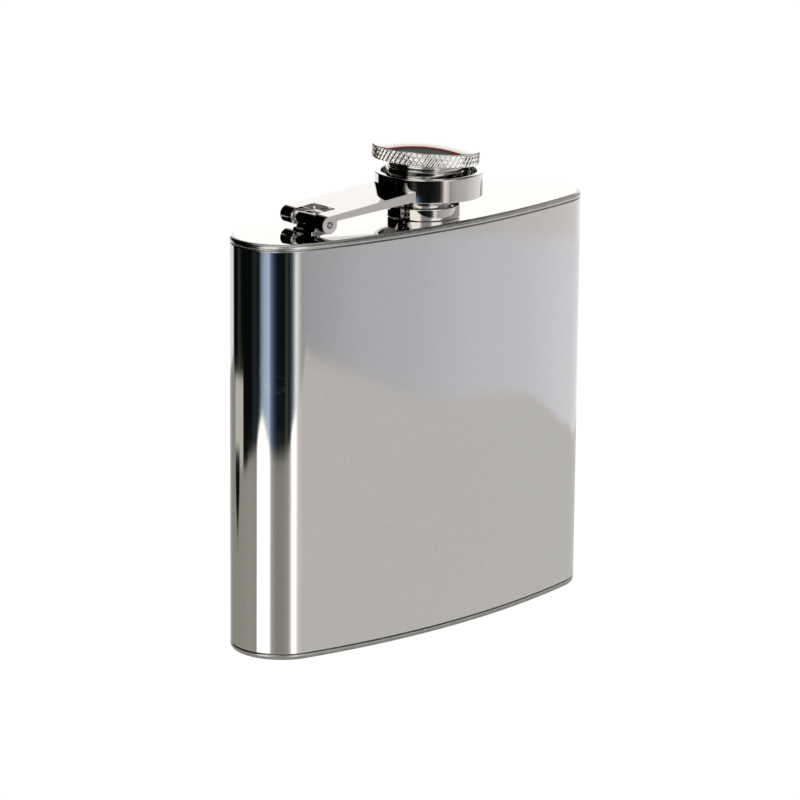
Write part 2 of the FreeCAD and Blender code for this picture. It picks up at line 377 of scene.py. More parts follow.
M_BODY = steel("stainless_body", base=(0.63, 0.62, 0.605), dark=0.985, rough=(0.040, 0.062), brush=(130, 130, 2300),
               brush_bump=0.0030, aniso=0.35, wave=0.006, haze_scale=38.0, mottle=0.16)
M_LIP = steel("stainless_lip", base=(0.60, 0.60, 0.585), dark=0.86, rough=(0.18, 0.28), brush=(420, 420, 1500),
              brush_bump=0.03, aniso=0.0, haze_scale=420.0, grime=0.35)
M_CHROME = steel("polished_hardware", base=(0.69, 0.675, 0.655), dark=0.95, rough=(0.020, 0.045), brush=(300, 300, 2600),
                 brush_bump=0.001, aniso=0.0, wave=0.0006, haze_scale=150.0, specks=False)
M_LEVER = steel("polished_lever", base=(0.70, 0.685, 0.67), dark=0.95, rough=(0.025, 0.055), brush=(150, 2600, 2600),
                brush_bump=0.001, aniso=0.0, wave=0.001, haze_scale=150.0, specks=False)
M_KNURL = steel("knurled_rim", base=(0.90, 0.885, 0.87), dark=0.95, rough=(0.015, 0.035), brush=(1500, 1500, 1500),
                brush_bump=0.0, aniso=0.0, haze_scale=420.0, specks=False)
M_THREAD = steel("turned_thread", base=(0.60, 0.59, 0.575), dark=0.84, rough=(0.08, 0.16), brush=(240, 240, 5200),
                 brush_bump=0.006, aniso=0.0, haze_scale=260.0)
M_SPRING = steel("spring_steel", base=(0.50, 0.50, 0.49), dark=0.80, rough=(0.14, 0.24), brush=(500, 180, 500),
                 brush_bump=0.004, aniso=0.0, haze_scale=120.0, specks=False)


def rubber():
    n = Nodes("seal_rubber")
    b = n.bsdf
    b.inputs["IOR"].default_value = 1.45
    b.inputs["Specular IOR Level"].default_value = 0.35
    b.inputs["Subsurface Weight"].default_value = 0.0
    blot = n.noise(n.obj(), 500.0, 4.0, 0.6)
    fine = n.noise(n.obj(), 6500.0, 2.0, 0.5)
    col = n.mix(n.span(blot, 0.3, 0.7, 0.0, 1.0), (0.66, 0.64, 0.58), (0.80, 0.79, 0.75))
    n.link(col, b.inputs["Base Color"])
    n.link(n.span(fine, 0.3, 0.7, 0.50, 0.68), b.inputs["Roughness"])
    nrm = n.bump(n.math("ADD", n.math("MULTIPLY", fine, 0.5), blot), 0.5, 0.01 * MM)
    n.link(nrm, b.inputs["Normal"])
    return n.mat


M_SEAL = rubber()

# ---------------------------------------------------------------- body
z_lo, z_hi = BOTTOM_LIP + SEAM, HEIGHT - TOP_LIP - SEAM
prof = rounded([(0.0, z_lo), (0.0, z_hi), (WALL, z_hi), (WALL, z_lo)], [0.16, 0.16, 0.12, 0.12], 3)
shell = loft("flask_shell", [("o", a, z) for a, z in prof])
finish_piece(shell, "flask", "steel_body", M_BODY, "body_shell")

# top plate: neck hole, flat, rounded lip, seam shoulder, skirt
z_lip = HEIGHT - TOP_LIP
lip_out = rounded([(3.0, HEIGHT), (0.0, HEIGHT), (0.0, z_lip), (WALL, z_lip), (WALL, z_lip - SKIRT),
                   (WALL + SKIRT_T, z_lip - SKIRT), (WALL + SKIRT_T, HEIGHT - PLATE), (3.0, HEIGHT - PLATE)],
                  [0, 0.85, 0.14, 0.05, 0.12, 0.12, 0.3, 0], 7)
top_prof = [("c", 6.85, HEIGHT - PLATE), ("c", 6.85, HEIGHT - 0.06), ("c", 6.91, HEIGHT), ("c", 7.6, HEIGHT)]
top_prof += [("o", a, z) for a, z in lip_out] + [("c", 7.6, HEIGHT - PLATE)]
top = loft("flask_top", top_prof)
finish_piece(top, "flask", "steel_body", M_LIP, "top_plate")
top.data.materials.append(M_CHROME)
for p in top.data.polygons:
    if p.center.z > (HEIGHT - 0.004) * MM and p.normal.z > 0.999:
        p.material_index = 1

# bottom plate: foot lip, shoulder, skirt
foot_out = rounded([(3.0, 0.0), (0.0, 0.0), (0.0, BOTTOM_LIP), (WALL, BOTTOM_LIP), (WALL, BOTTOM_LIP + SKIRT),
                    (WALL + SKIRT_T, BOTTOM_LIP + SKIRT), (WALL + SKIRT_T, PLATE), (3.0, PLATE)],
                   [0, 0.8, 0.14, 0.05, 0.12, 0.12, 0.2, 0], 6)
bot_prof = [("c", 2.0, 0.0)] + [("o", a, z) for a, z in foot_out] + [("c", 2.0, PLATE)]
bottom = loft("flask_bottom", bot_prof, closed=False, caps=(True, True))
finish_piece(bottom, "flask", "steel_body", M_LIP, "bottom_plate")

# ---------------------------------------------------------------- neck
LEADZ = 2.2


def thread_grid(name, body_profile, r_root, r_crest, z0, z1, z_first, z_last, start_deg, matrix, n=180, dz=0.11, outside=True):
    """A closed lathe whose z0..z1 wall carries one helical ridge. body_profile is the rest of the loop, from z1 round to z0."""
    rows = int(round((z1 - z0) / dz))
    verts, rings = [], []
    depth = r_crest - r_root
    for i in range(rows + 1):
        z = z0 + (z1 - z0) * i / rows
        ring = []
        for k in range(n):
            a = 360.0 * k / n
            # nearest pass of the helix at this angle
            base = z_first + ((a - start_deg) % 360.0) / 360.0 * LEADZ
            best, turn = 9.0, 0.0
            for m in range(-1, 5):
                zc = base + m * LEADZ
                if abs(z - zc) < abs(best):
                    best, turn = z - zc, zc
            w = 1.0 - max(0.0, min(1.0, (abs(best) - 0.15) / 0.27))
            fade = max(0.0, min(1.0, (turn - z_first) / 0.25)) * max(0.0, min(1.0, (z_last - turn) / 0.25))
            if turn < z_first - 1e-6 or turn > z_last + 1e-6:
                fade = 0.0
            edge = max(0.0, min(1.0, (z - z0) / 0.15)) * max(0.0, min(1.0, (z1 - z) / 0.15))
            r = r_root + depth * w * fade * edge
            ar = math.radians(a)
            ring.append((r * math.cos(ar), r * math.sin(ar), z))
        rings.append(ring)
    for r, z in body_profile:
        rings.append([(r * math.cos(2 * math.pi * k / n), r * math.sin(2 * math.pi * k / n), z) for k in range(n)])
    for ring in rings:
        verts += ring
    return verts, rings_to_faces(len(rings), n, True), rows


cap_start = 6.24
mid_z = cap_start + LEADZ / 2
start = 180.0 + (3.5 - mid_z) / LEADZ * 360.0
rest = rounded([(5.95, 8.6), (5.35, 8.6), (5.35, -2.3), (6.85, -2.3), (6.85, 0.0), (7.73, 0.0), (7.73, 2.6), (5.95, 2.6)],
               [0.16, 0.12, 0.12, 0.1, 0.0, 0.0, 0.34, 0.0], 5)[1:-1]
v, f, rows = thread_grid("neck", rest, 5.95, 6.5, 2.6, 8.42, 3.5, 8.05, start, ARM)
neck = new_object("neck_finish", v, f, ARM)
finish_piece(neck, "flask", "steel_hardware", M_CHROME, "neck")
neck.data.materials.append(M_THREAD)
for p in neck.data.polygons:
    c = ARM.inverted() @ (p.center / MM)
    r = math.hypot(c.x, c.y)
    if (c.z > 2.75 and r > 5.2) or r < 5.5:
        p.material_index = 1

# a thin brazing fillet where the collar meets the top plate
fillet = lathe("neck_braze", [(7.60, -0.02), (7.98, -0.02), (7.86, 0.03), (7.78, 0.10), (7.74, 0.22), (7.60, 0.22)], ARM, n=160)
finish_piece(fillet, "flask", "steel_hardware", M_CHROME)

# ---------------------------------------------------------------- hinge
bracket = extrude_y("hinge_leaf", arc_pts(PIN_X, PIN_Z, 1.32, 0, 360, 72)[:-1], -3.65, 3.65, edge=0.10, smooth=False)
web = [(PIN_X - 0.65, PIN_Z), (PIN_X - 0.65, 1.0), (PIN_X - 0.67, 0.72), (PIN_X - 0.78, 0.55), (PIN_X - 1.0, 0.46),
       (PIN_X - 1.45, 0.44), (PIN_X - 1.57, 0.38), (PIN_X - 1.6, 0.28), (PIN_X - 1.6, 0.0),
       (PIN_X + 3.4, 0.0), (PIN_X + 3.4, 0.28), (PIN_X + 3.36, 0.38), (PIN_X + 3.24, 0.44), (PIN_X + 1.2, 0.45),
       (PIN_X + 0.85, 0.52), (PIN_X + 0.70, 0.68), (PIN_X + 0.65, 1.0), (PIN_X + 0.65, PIN_Z)]
boolean(bracket, extrude_y("w", web, -3.3, 3.3, edge=0.08, smooth=False), "UNION")
tail = rounded([(PIN_X + 0.1, 2.95), (PIN_X + 3.75, 2.95), (PIN_X + 3.75, 3.40), (PIN_X + 0.1, 3.40)], [0, 0.15, 0.15, 0], 3)
boolean(bracket, extrude_y("s", tail, -3.3, 3.3, edge=0.08, smooth=False), "UNION")
boolean(bracket, extrude_y("p", arc_pts(PIN_X, PIN_Z, 0.705, 0, 360, 48)[:-1], -6.0, 6.0, edge=0.0, segs=1, smooth=False), "DIFFERENCE")
bracket.data.transform(Matrix.Scale(1000, 4))
bracket.data.transform(TO_M @ ARM)
bracket.data.shade_smooth()
bracket.data.set_sharp_from_angle(angle=math.radians(32))
finish_piece(bracket, "flask", "steel_hardware", M_CHROME, "hinge_bracket")

ROT_Y = Matrix.Translation((PIN_X, 0, PIN_Z)) @ Matrix.Rotation(math.radians(-90), 4, "X")
pin_prof = [(0.03, -HB + 1.9), (0.50, -HB + 1.6), (0.54, -HB + 0.42), (0.60, -HB + 0.36), (0.66, -HB + 0.42), (0.70, -HB + 0.55),
            (0.70, HB - 0.55), (0.66, HB - 0.42), (0.60, HB - 0.36), (0.54, HB - 0.42), (0.50, HB - 1.6), (0.03, HB - 1.9)]
pin = lathe("hinge_pin_bar", pin_prof, ARM @ ROT_Y, n=48, closed=False, caps=(True, True))
finish_piece(pin, "flask", "steel_hardware", M_CHROME, "hinge_pin")

# ---------------------------------------------------------------- lever arm
slope_t = (6.85 - 4.32) / 22.2
slope_b = (4.75 - 3.07) / 22.2


def top_z(x):
    return 4.32 + slope_t * (x - PIN_X)


def bot_z(x):
    return 3.07 + slope_b * (x - PIN_X)


knuckle = arc_pts(PIN_X, PIN_Z, 1.82, 90, 375, 56)
x_end = RING_X - 4.0
side = [(x_end, bot_z(x_end)), (x_end, top_z(x_end))] + knuckle
side += [(-27.95, 3.16), (-27.6, bot_z(-27.6))]
arm = extrude_y("lever", side, -HB, HB, edge=0.0, segs=1, matrix=None, smooth=False)
taper = new_object("t", [(x, y, z) for z in (-2, 12) for x, y in
                         ((-33, -HB), (-27.9, -HB), (-0.5, -7.21), (-0.5, 7.21), (-27.9, HB), (-33, HB))],
                   [(0, 1, 2, 3, 4, 5), (6, 7, 8, 9, 10, 11)] + [(i, (i + 1) % 6, (i + 1) % 6 + 6, i + 6) for i in range(6)],
                   None, smooth=False)
boolean(arm, taper, "INTERSECT")
notch = new_object("n", [(x, y, z) for z in (-3, 12) for x, y in
                         ((-34, -3.75), (-25.95, -3.75), (-25.7, -3.5), (-25.7, 3.5), (-25.95, 3.75), (-34, 3.75))],
                   [(0, 1, 2, 3, 4, 5), (6, 7, 8, 9, 10, 11)] + [(i, (i + 1) % 6, (i + 1) % 6 + 6, i + 6) for i in range(6)],
                   None, smooth=False)
boolean(arm, notch, "DIFFERENCE")
hole = lathe("h", [(0.75, -20), (0.75, 20)], ROT_Y, n=40, closed=False, caps=(True, True), smooth=False)
boolean(arm, hole, "DIFFERENCE")
ringcut = lathe("r", [(11.50, -2), (11.50, 15)], None, n=256, closed=False, cx=RING_X, caps=(True, True), smooth=False)
boolean(arm, ringcut, "DIFFERENCE")
arm.data.transform(TO_M @ ARM @ Matrix.Scale(1000, 4))
arm.data.shade_smooth()
arm.data.set_sharp_from_angle(angle=math.radians(25))
bev = arm.modifiers.new("edges", "BEVEL")
bev.width, bev.segments, bev.limit_method, bev.angle_limit = 0.42 * MM, 5, "ANGLE", math.radians(40)
bev.use_clamp_overlap = True
wn = arm.modifiers.new("flat_faces", "WEIGHTED_NORMAL")
wn.keep_sharp, wn.weight = False, 70
finish_piece(arm, "arm", "steel_hardware", M_LEVER, "lever_arm")

# ---------------------------------------------------------------- ring
ring_prof = rounded([(10.6, 4.35), (11.54, 4.35), (11.54, 9.40), (10.15, 9.40), (10.15, 8.25), (10.6, 8.25)],
                    [0.12, 0.24, 0.24, 0.24, 0.12, 0.05], 5)
ring = lathe("cap_ring", ring_prof, ARM, n=288, cx=RING_X)
finish_piece(ring, "arm", "steel_hardware", M_CHROME, "collar_ring")

# ---------------------------------------------------------------- retaining ring
sect = rounded([(0, 4.45), (1, 4.45), (1, 5.05), (0, 5.05)], 0.0)
gap = math.degrees(0.6 / 9.0)
verts, N = [], 150
for i in range(N + 1):
    a = math.radians(gap + (360 - 2 * gap) * i / N)
    # outer circle is off centre by 1.34 mm
    off = RING_X + 0.09
    ro = off * math.cos(a) + math.sqrt(10.35 ** 2 - (off * math.sin(a)) ** 2)
    ri = 7.72
    for r, z in ((ri + 0.08, 4.45), (ro - 0.10, 4.45), (ro, 4.55), (ro, 4.95), (ro - 0.10, 5.05), (ri + 0.08, 5.05),
                 (ri, 4.97), (ri, 4.53)):
        verts.append((r * math.cos(a), r * math.sin(a), z))
faces = []
for i in range(N):
    for k in range(8):
        faces.append((i * 8 + k, i * 8 + (k + 1) % 8, (i + 1) * 8 + (k + 1) % 8, (i + 1) * 8 + k))
faces.append(tuple(range(8)))
faces.append(tuple(range(N * 8, N * 8 + 8)))
clip = new_object("snap_ring", verts, faces, LEAN)
finish_piece(clip, "carrier", "spring_steel", M_SPRING, "retaining_ring")

# ---------------------------------------------------------------- cap
outer = rounded([(7.05, 4.0), (8.2, 4.0), (8.2, 4.40), (7.67, 4.40), (7.67, 5.10), (8.2, 5.10), (8.2, 7.72), (8.02, 7.80),
                 (8.02, 8.08), (8.2, 8.16), (8.2, 8.72), (7.98, 8.82), (7.98, 9.30), (8.2, 9.42), (8.2, 11.0)],
                [0.12, 0.14, 0.05, 0.05, 0.05, 0.12, 0.05, 0.04, 0.04, 0.05, 0.05, 0.04, 0.04, 0.05, 0.0], 4)
inner_top = 9.82
rest = [(0.4, inner_top), (0.4, 11.0)] + list(reversed(outer))
rest = rest[:-1]
start_c = 180.0
v, f, rows = thread_grid("sleeve", rest, 7.05, 6.15, 4.14, inner_top - 0.02, cap_start, 8.25, start_c, LEAN, outside=False)
sleeve = new_object("cap_barrel", v, f, LEAN)
finish_piece(sleeve, "cap", "steel_hardware", M_CHROME, "cap_sleeve")
sleeve.data.materials.append(M_THREAD)
inv = LEAN.inverted()
for p in sleeve.data.polygons:
    c = inv @ (p.center / MM)
    if math.hypot(c.x, c.y) < 7.12:
        p.material_index = 1

# knurled head: two families of helical grooves cut into the rim
TEETH, ROWS, PER = 60, 30, 14
NK = TEETH * PER
Z0, Z1, HR = 9.45, 12.12, 11.4
verts, faces = [], []


def wave01(u, broad=0.5):
    u = u % 1.0
    if u < broad:
        return 0.5 + 0.5 * math.cos(math.pi * u / broad)
    return 0.5 - 0.5 * math.cos(math.pi * (u - broad) / (1.0 - broad))


rings = []
for i in range(ROWS + 1):
    z = Z0 + 0.10 + (Z1 - Z0 - 0.20) * i / ROWS
    s = (z - Z0) * math.tan(math.radians(33)) / (2 * math.pi * HR / TEETH)
    end = min(1.0, (z - Z0) / 0.34, (Z1 - z) / 0.34)
    ring_v = []
    for k in range(NK):
        u = k / PER
        g1 = wave01(u - s, 0.55) ** 1.4
        g2 = wave01(u + s + 0.37) ** 0.30
        r = HR - 0.44 * (1.0 - g1) - 0.09 * (1.0 - g2) * (0.3 + 0.7 * g1) - 0.16 * (1.0 - max(0.0, end)) ** 2
        a = 2 * math.pi * k / NK
        ring_v.append((r * math.cos(a), r * math.sin(a), z))
    rings.append(ring_v)
for r, z in [(11.16, Z1 - 0.03), (11.02, Z1), (10.6, Z1), (10.6, 11.0), (8.2, 11.0), (8.2, Z0), (10.98, Z0), (11.14, Z0 + 0.03)]:
    rings.append([(r * math.cos(2 * math.pi * k / NK), r * math.sin(2 * math.pi * k / NK), z) for k in range(NK)])
for r_ in rings:
    verts += r_
head = new_object("cap_knurl", verts, rings_to_faces(len(rings), NK, True), LEAN, sharp=60, weighted=False)
finish_piece(head, "cap", "steel_hardware", M_KNURL, "cap_head")

# dome
sag, dr = 1.69, 11.2
sr = (dr ** 2 + sag ** 2) / (2 * sag)
cz = 12.12 + sag - sr
dome_prof = [(0.02, cz + sr)]
for i in range(1, 41):
    t = math.asin((dr - 0.22) / sr) * i / 40
    dome_prof.append((sr * math.sin(t), cz + sr * math.cos(t)))
r_e, z_e = dome_prof[-1]
dome_prof += [(r_e + 0.09, z_e - 0.05), (r_e + 0.15, z_e - 0.12), (dr - 0.04, 12.16), (dr - 0.12, 12.12),
              (10.6, 12.12), (10.6, 11.0), (0.02, 11.0)]
dome = lathe("cap_top", dome_prof, LEAN, n=256, closed=False, caps=(True, True), sharp=50)
finish_piece(dome, "cap", "steel_hardware", M_CHROME, "cap_dome")

# seal: a silicone disc with a shallow press mark from the rim
seal_prof = [(0.02, 8.70), (2.0, 8.69), (4.9, 8.66), (5.30, 8.70), (5.45, 8.72), (5.85, 8.72), (6.0, 8.68), (6.2, 8.62),
             (6.8, 8.62), (6.95, 8.68), (7.0, 8.82), (7.0, 9.70), (6.93, 9.80), (6.8, 9.82), (0.02, 9.82)]
seal = lathe("cap_gasket", seal_prof, LEAN, n=128, closed=False, caps=(True, True))
finish_piece(seal, "cap", "seal", M_SEAL, "cap_seal")

# ---------------------------------------------------------------- camera
AZ, EL, ROLL, DIST = math.radians(43.422), math.radians(14.397), math.radians(0.557), 840.94
back = Vector((-math.sin(AZ) * math.cos(EL), -math.cos(AZ) * math.cos(EL), math.sin(EL)))
right = Vector((math.cos(AZ), -math.sin(AZ), 0.0))
up = back.cross(right)
r2 = right * math.cos(ROLL) + up * math.sin(ROLL)
u2 = -right * math.sin(ROLL) + up * math.cos(ROLL)
pos = (Vector((0, 0, 50.0)) + back * DIST) * MM
cam = bpy.data.cameras.new("camera")
cam.sensor_width = 36.0
cam.lens = 3928.87 * 36.0 / 800.0
cam.shift_x = -(415.207 - 400.0) / 800.0
cam.shift_y = (389.662 - 400.0) / 800.0
cam.clip_start, cam.clip_end = 0.05, 20.0
cam_ob = bpy.data.objects.new("camera", cam)
COLL.objects.link(cam_ob)
cam_ob.matrix_world = Matrix((
    (r2.x, u2.x, back.x, pos.x), (r2.y, u2.y, back.y, pos.y), (r2.z, u2.z, back.z, pos.z), (0, 0, 0, 1)))
scene.camera = cam_ob

# ---------------------------------------------------------------- studio
scene.view_settings.view_transform = "Standard"
world = bpy.data.worlds.new("studio")
scene.world = world
world.use_nodes = True
bgn = world.node_tree.nodes["Background"]
bgn.inputs[0].default_value = (1.0, 1.0, 1.0, 1.0)
bgn.inputs[1].default_value = 1.05


def srgb(r, g, b):
    def lin(c):
        c = c / 255.0
        return c / 12.92 if c <= 0.04045 else ((c + 0.055) / 1.055) ** 2.4
    return (lin(r), lin(g), lin(b))


def emission(name):
    m = bpy.data.materials.new(name)
    m.use_nodes = True
    nt = m.node_tree
    nt.nodes.clear()
    out = nt.nodes.new("ShaderNodeOutputMaterial")
    em = nt.nodes.new("ShaderNodeEmission")
    nt.links.new(em.outputs[0], out.inputs[0])
    m.cycles.emission_sampling = "NONE"
    return m, nt, em


def only_reflections(ob):
    ob.visible_camera = False
    ob.visible_diffuse = False
    ob.visible_shadow = False
    ob.visible_transmission = False
    ob.visible_volume_scatter = False


# floor seen by the camera: a plain pale sheet
me = bpy.data.meshes.new("floor")
S = 6.0
me.from_pydata([(-S, -S, -0.0002), (S, -S, -0.0002), (S, S, -0.0002), (-S, S, -0.0002)], [], [(0, 1, 2, 3)])
floor = bpy.data.objects.new("floor", me)
COLL.objects.link(floor)
fm, nt, em = emission("floor_white")
em.inputs[0].default_value = (1, 1, 1, 1)
em.inputs[1].default_value = 1.05
me.materials.append(fm)
floor.visible_glossy = False
floor.visible_shadow = False


def azimuth_ramp(nt, pos_out, centre, stops, interp="EASE"):
    """Colour from the compass direction about a centre; 0 is straight out from the front, + towards -X."""
    sub = nt.nodes.new("ShaderNodeVectorMath")
    sub.operation = "SUBTRACT"
    nt.links.new(pos_out, sub.inputs[0])
    sub.inputs[1].default_value = (*centre, 0.0)
    sep = nt.nodes.new("ShaderNodeSeparateXYZ")
    nt.links.new(sub.outputs[0], sep.inputs[0])
    nx = nt.nodes.new("ShaderNodeMath")
    nx.operation = "MULTIPLY"
    nx.inputs[1].default_value = -1
    nt.links.new(sep.outputs[0], nx.inputs[0])
    ny = nt.nodes.new("ShaderNodeMath")
    ny.operation = "MULTIPLY"
    ny.inputs[1].default_value = -1
    nt.links.new(sep.outputs[1], ny.inputs[0])
    at = nt.nodes.new("ShaderNodeMath")
    at.operation = "ARCTAN2"
    nt.links.new(nx.outputs[0], at.inputs[0])
    nt.links.new(ny.outputs[0], at.inputs[1])
    mr = nt.nodes.new("ShaderNodeMapRange")
    mr.inputs[1].default_value = -math.pi
    mr.inputs[2].default_value = math.pi
    nt.links.new(at.outputs[0], mr.inputs[0])
    ramp = nt.nodes.new("ShaderNodeValToRGB")
    ramp.color_ramp.interpolation = interp
    els = ramp.color_ramp.elements
    stops = sorted(stops)
    while len(els) > 1:
        els.remove(els[-1])
    els[0].position = (stops[0][0] + 180) / 360
    els[0].color = (*stops[0][1], 1)
    for a, c in stops[1:]:
        e = els.new((a + 180) / 360)
        e.color = (*c, 1)
    nt.links.new(mr.outputs[0], ramp.inputs[0])
    return ramp.outputs[0], sub.outputs[0], mr.outputs[0]


def lum(v, warm=0.0):
    return (v * (1 + warm), v, v * (1 - warm))


BLACK = (0.0, 0.0, 0.0)
# light on the table further than about 200 mm away: a window to the left, dark room round it,
# a bright sheet in front and the paler wall to the right
FAR = [(-180, lum(1.0)), (-150, lum(1.0)), (-110, lum(1.0)), (-78, (0.98, 0.965, 1.03)), (-55, (0.80, 0.79, 0.85)),
       (-30, (0.66, 0.65, 0.70)), (-12, (0.51, 0.50, 0.54)), (-3, (0.50, 0.49, 0.53)), (2, (0.63, 0.61, 0.62)),
       (8, (1.05, 1.03, 0.98)), (12, (1.15, 1.18, 1.17)), (16, (0.42, 0.52, 0.58)), (21, (0.06, 0.10, 0.13)),
       (27, (0.012, 0.016, 0.017)), (32, (0.055, 0.057, 0.048)), (38, (0.004, 0.007, 0.008)), (52, (0.006, 0.011, 0.017)),
       (59, (0.035, 0.062, 0.11)), (66, (0.16, 0.25, 0.39)), (71, (0.60, 0.72, 0.90)), (80, (0.48, 0.60, 0.78)),
       (87.5, (0.26, 0.35, 0.45)), (91.5, (0.05, 0.065, 0.08)), (95, (0.008, 0.012, 0.015)), (105, (0.022, 0.027, 0.032)),
       (114, (0.003, 0.004, 0.005)), (140, (0.004, 0.005, 0.004)), (151, (0.035, 0.042, 0.038)), (158, (0.006, 0.006, 0.006)),
       (172, (0.0, 0.0, 0.0)), (176, (0.80, 0.78, 0.76)), (180, lum(1.0))]
NEAR = [(-180, (0.36, 0.35, 0.33)), (-150, (0.62, 0.61, 0.59)), (-100, (0.72, 0.71, 0.685)), (-60, (0.74, 0.73, 0.70)),
        (-14, (0.735, 0.725, 0.69)), (-4, (0.74, 0.72, 0.70)), (4, (0.86, 0.80, 0.76)), (9, (1.05, 1.02, 0.99)),
        (12, (1.9, 1.9, 1.85)), (20, (1.9, 1.9, 1.85)), (24, (0.75, 0.75, 0.70)), (30, (0.42, 0.42, 0.375)),
        (40, (0.35, 0.345, 0.295)), (52, (0.335, 0.33, 0.28)), (60, (0.42, 0.40, 0.36)), (66, (0.70, 0.64, 0.61)),
        (70, (1.9, 1.9, 1.85)), (96, (1.9, 1.9, 1.85)), (100, (0.40, 0.39, 0.36)), (108, (0.42, 0.41, 0.37)),
        (120, (0.43, 0.42, 0.36)), (134, (0.40, 0.39, 0.33)), (150, (0.38, 0.37, 0.33)), (180, (0.36, 0.35, 0.33))]
# how far the nearer, paler sheet reaches, as a share of 400 mm
CARD_Z = -60.0


def on_card(d):
    """A distance on the table, carried along the same line of sight to the card below it. Millimetres."""
    z = 259.0 * d / (805.0 + d)
    return 805.0 * (z - CARD_Z) / (259.0 - z)


EDGE = [(-180, 270), (-110, 190), (-72, 205), (-62, 250), (-45, 222), (-34, 228), (-25, 252), (-17, 265), (-13, 288), (-7, 262),
        (0, 235), (8, 215), (14, 205), (20, 200), (26, 172), (45, 165), (64, 170), (74, 182), (86, 215), (94, 190),
        (101, 168), (118, 165), (126, 152), (136, 150), (144, 160), (158, 190), (172, 262), (180, 270)]
END_C = (-0.0361, 0.0021)

fm2, nt, em = emission("table_reflection")
geo = nt.nodes.new("ShaderNodeNewGeometry")
far_c, rel, az01 = azimuth_ramp(nt, geo.outputs["Position"], END_C, FAR)
near_c, _, _ = azimuth_ramp(nt, geo.outputs["Position"], END_C, NEAR)
edge_c, _, _ = azimuth_ramp(nt, geo.outputs["Position"], END_C, [(a, (on_card(d) / 800.0,) * 3) for a, d in EDGE], "B_SPLINE")
ln = nt.nodes.new("ShaderNodeVectorMath")
ln.operation = "LENGTH"
nt.links.new(rel, ln.inputs[0])
e1 = nt.nodes.new("ShaderNodeMath")
e1.operation = "MULTIPLY"
e1.inputs[1].default_value = 0.800
nt.links.new(edge_c, e1.inputs[0])
e2 = nt.nodes.new("ShaderNodeMath")
e2.operation = "SUBTRACT"
nt.links.new(ln.outputs["Value"], e2.inputs[0])
nt.links.new(e1.outputs[0], e2.inputs[1])
e3 = nt.nodes.new("ShaderNodeMapRange")
e3.interpolation_type = "SMOOTHSTEP"
e3.inputs[1].default_value = -0.006
e3.inputs[2].default_value = 0.007
nt.links.new(e2.outputs[0], e3.inputs[0])
mx = nt.nodes.new("ShaderNodeMix")
mx.data_type = "RGBA"
nt.links.new(e3.outputs[0], mx.inputs[0])
nt.links.new(near_c, mx.inputs[6])
nt.links.new(far_c, mx.inputs[7])


def node_math(op, a, b=None):
    m = nt.nodes.new("ShaderNodeMath")
    m.operation = op
    for i, v in enumerate((a, b)):
        if v is None:
            continue
        if isinstance(v, (int, float)):
            m.inputs[i].default_value = v
        else:
            nt.links.new(v, m.inputs[i])
    return m.outputs[0]


def ease(v, a, b):
    m = nt.nodes.new("ShaderNodeMapRange")
    m.interpolation_type = "SMOOTHSTEP"
    m.inputs[1].default_value = a
    m.inputs[2].default_value = b
    nt.links.new(v, m.inputs[0])
    return m.outputs[0]


def lay(fac, under, colour):
    m = nt.nodes.new("ShaderNodeMix")
    m.data_type = "RGBA"
    nt.links.new(fac, m.inputs[0])
    nt.links.new(under, m.inputs[6])
    m.inputs[7].default_value = (*colour, 1)
    return m.outputs[2]


# a paler strip of the table to the far left, and a soft dark wedge that crosses it
deg = node_math("SUBTRACT", node_math("MULTIPLY", az01, 360.0), 180.0)
far_d = ln.outputs["Value"]
pale = node_math("MULTIPLY", ease(deg, 134.5, 138.5), ease(deg, 168.0, 163.0))
pale = node_math("MULTIPLY", pale, ease(far_d, on_card(148) * MM, on_card(157) * MM))
pale = node_math("MULTIPLY", pale, ease(far_d, on_card(246) * MM, on_card(238) * MM))
tapered = ease(far_d, on_card(62) * MM, on_card(150) * MM)
off = node_math("ABSOLUTE", node_math("SUBTRACT", deg, 157.0))
spare = node_math("SUBTRACT", node_math("MULTIPLY", tapered, 8.5), off)
wedge = node_math("MULTIPLY", ease(spare, -1.2, 1.2), ease(far_d, on_card(176) * MM, on_card(158) * MM))
wedge = node_math("MULTIPLY", wedge, ease(far_d, on_card(66) * MM, on_card(118) * MM))
card_c = lay(wedge, lay(pale, mx.outputs[2], (0.70, 0.68, 0.61)), (0.004, 0.004, 0.003))
nt.links.new(card_c, em.inputs[0])
em.inputs[1].default_value = 1.0
me = bpy.data.meshes.new("table_card")
S = 0.72
ring_n = 96
cvx = [(END_C[0] + S * math.cos(2 * math.pi * k / ring_n), END_C[1] + S * math.sin(2 * math.pi * k / ring_n), CARD_Z * MM) for k in range(ring_n)]
me.from_pydata(cvx, [], [tuple(range(ring_n))])
me.materials.append(fm2)
card = bpy.data.objects.new("table_card", me)
COLL.objects.link(card)
only_reflections(card)

# a grey rim on the table close round the foot, seen only by the rounded lip above it: a painted contact shadow, a grey
# sheet that stands in for the shade the flask casts on the table round its foot
me = bpy.data.meshes.new("contact_shadow_rim")
me.from_pydata([(x * MM, y * MM, -0.0001) for x, y in outline(-2.6)], [], [tuple(range(len(outline(-2.6))))])
fm, nt, em = emission("painted_contact_shadow")
# painted shadow: the grey of the shaded table round the foot
em.inputs[0].default_value = (0.40, 0.39, 0.365, 1)
me.materials.append(fm)
rim = bpy.data.objects.new("contact_shadow_rim", me)
COLL.objects.link(rim)
only_reflections(rim)

